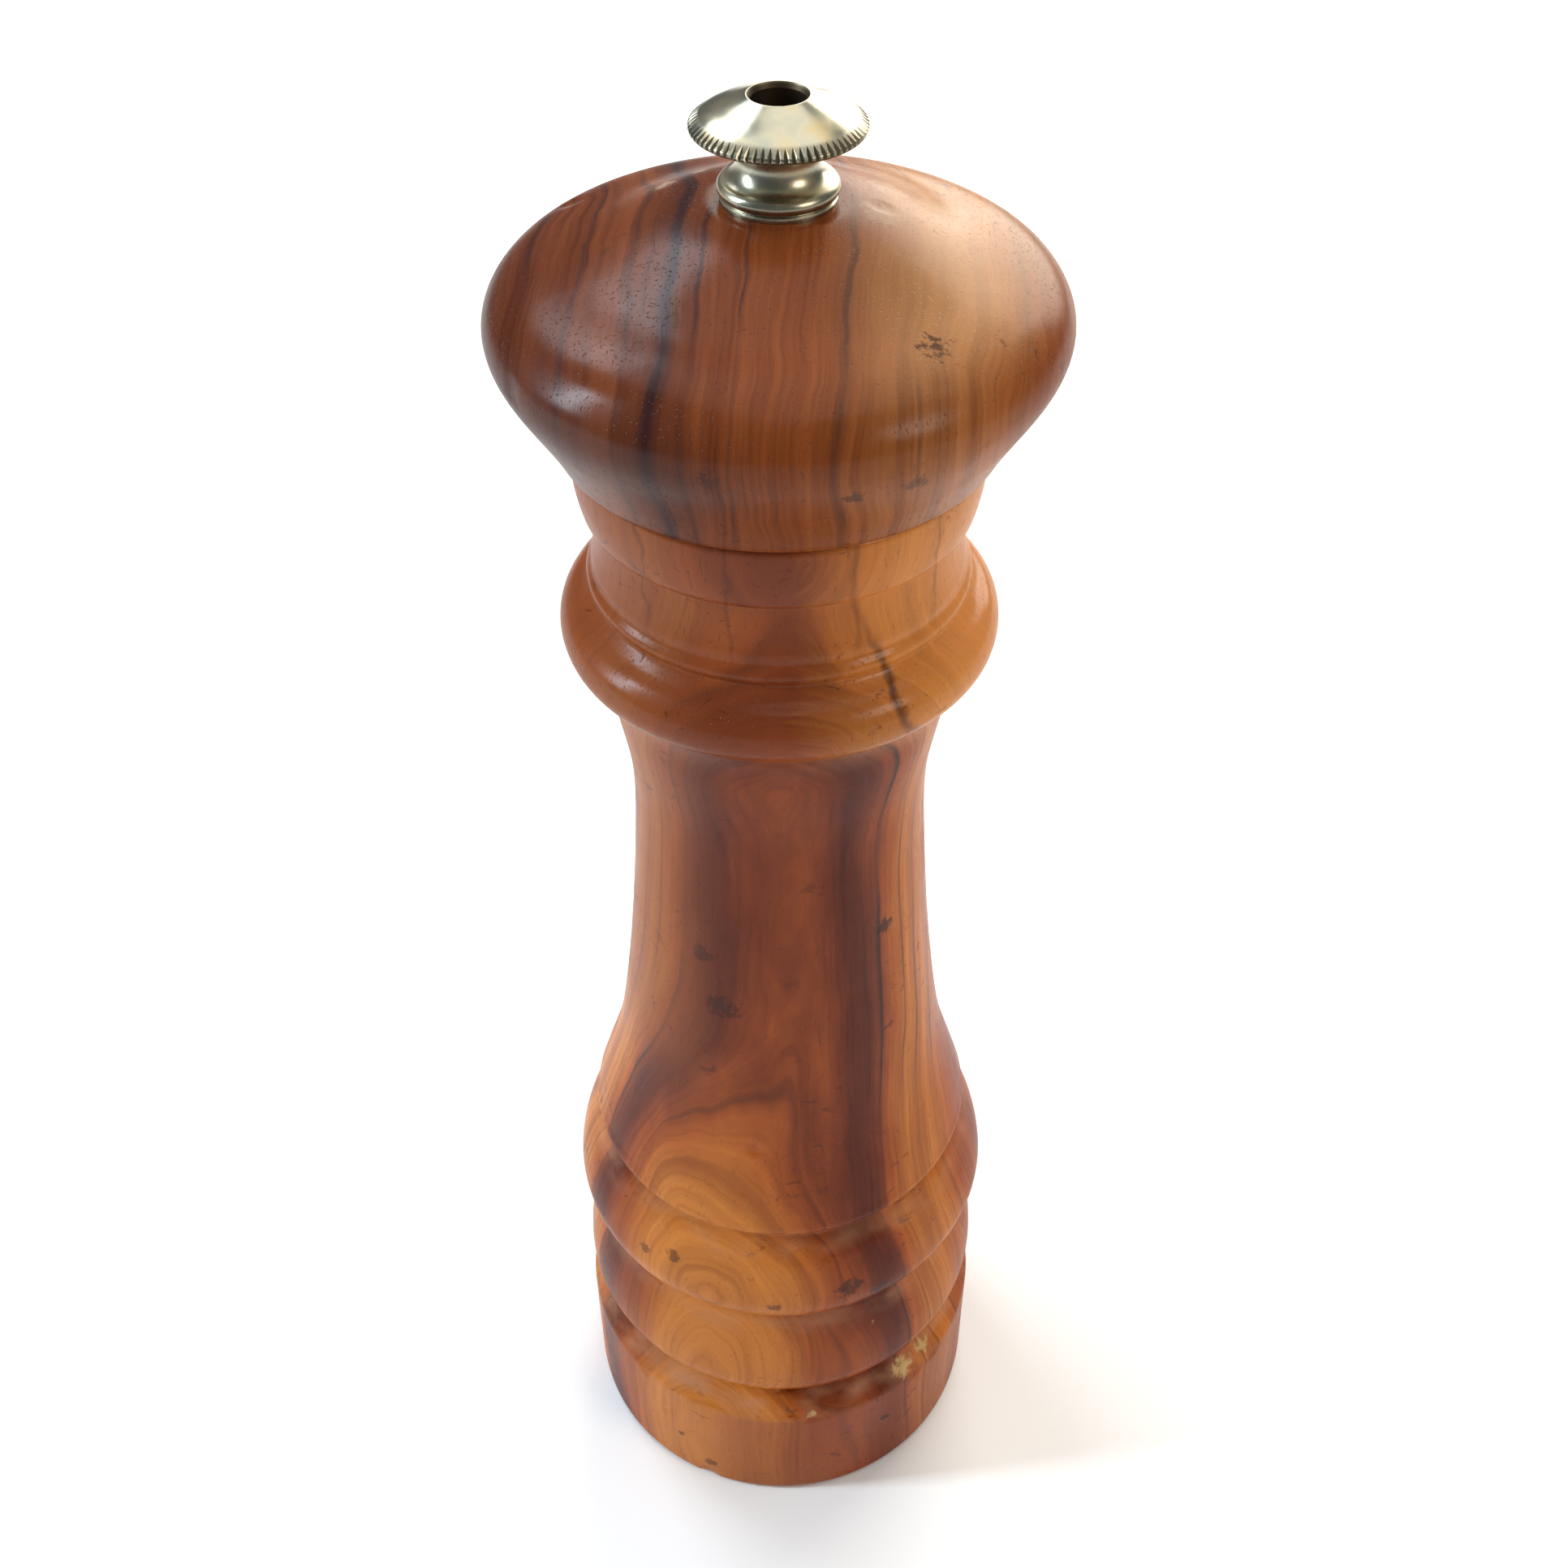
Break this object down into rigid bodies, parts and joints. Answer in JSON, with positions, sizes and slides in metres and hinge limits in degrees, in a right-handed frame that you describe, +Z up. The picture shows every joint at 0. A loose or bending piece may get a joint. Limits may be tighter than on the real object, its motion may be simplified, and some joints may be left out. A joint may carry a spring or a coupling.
{
  "type": "pepper mill",
  "caption": "Turned wooden pepper mill with a waisted body, a turning mushroom head, a knurled metal adjusting knob, a square shaft and a conical burr set in the base.",
  "frame": {"origin": "centre of the base, on the surface that the mill stands on", "axes": "+Z up along the turning axis of the mill, -Y towards the side seen from the front"},
  "size_m": [0.058, 0.058, 0.2022],
  "materials": {
    "body_wood": "oiled and polished olive-type wood with dark streaks, satin gloss",
    "head_wood": "oiled and polished olive-type wood, darker, with black-brown streaks",
    "nickel_plate": "worn warm nickel plate, knurled edge",
    "shaft_steel": "bright drawn square bar",
    "burr_steel": "case-hardened steel with cut teeth",
    "plain_steel": "zinc-plated pressed steel",
    "screw_steel": "plated slotted screws",
    "spring_steel": "drawn spring wire",
    "bush_brass": "turned brass"
  },
  "bodies": {
    "housing": {"body": "body_wood", "stator_burr": "burr_steel", "guide_bridge": "plain_steel", "retaining_plate": "plain_steel", "plate_screws": "screw_steel", "lower_bush": "bush_brass"},
    "drive": {"thrust_washer": "plain_steel"},
    "spindle": {"shaft": "shaft_steel", "rotor_burr": "burr_steel", "rotor_washer": "plain_steel", "rotor_nut": "plain_steel", "spring_seat": "plain_steel", "spring": "spring_steel"},
    "head": {"head": "head_wood", "drive_plate": "plain_steel", "drive_plate_screws": "screw_steel", "knob_washer": "nickel_plate"},
    "knob": {"knob": "nickel_plate"}
  },
  "joints": [
    {"name": "grind_turn", "type": "hinge", "parent": "housing", "child": "drive", "pos_m": [0, 0, 0.034], "axis": [0, 0, 1], "continuous": true},
    {"name": "head_lift", "type": "slide", "parent": "drive", "child": "head", "axis": [0, 0, 1], "range_m": [0, 0.06]},
    {"name": "knob_turn", "type": "hinge", "parent": "head", "child": "knob", "pos_m": [0, 0, 0.1955], "axis": [0, 0, 1], "range_deg": [-360, 360]},
    {"name": "grind_rise", "type": "slide", "parent": "drive", "child": "spindle", "axis": [0, 0, 1], "range_m": [-0.0008, 0.0008], "deforming": ["spring"]}
  ],
  "couplings": [
    {"joint": "knob_turn", "follows": "grind_rise", "rad_per_m": -7854}
  ]
}
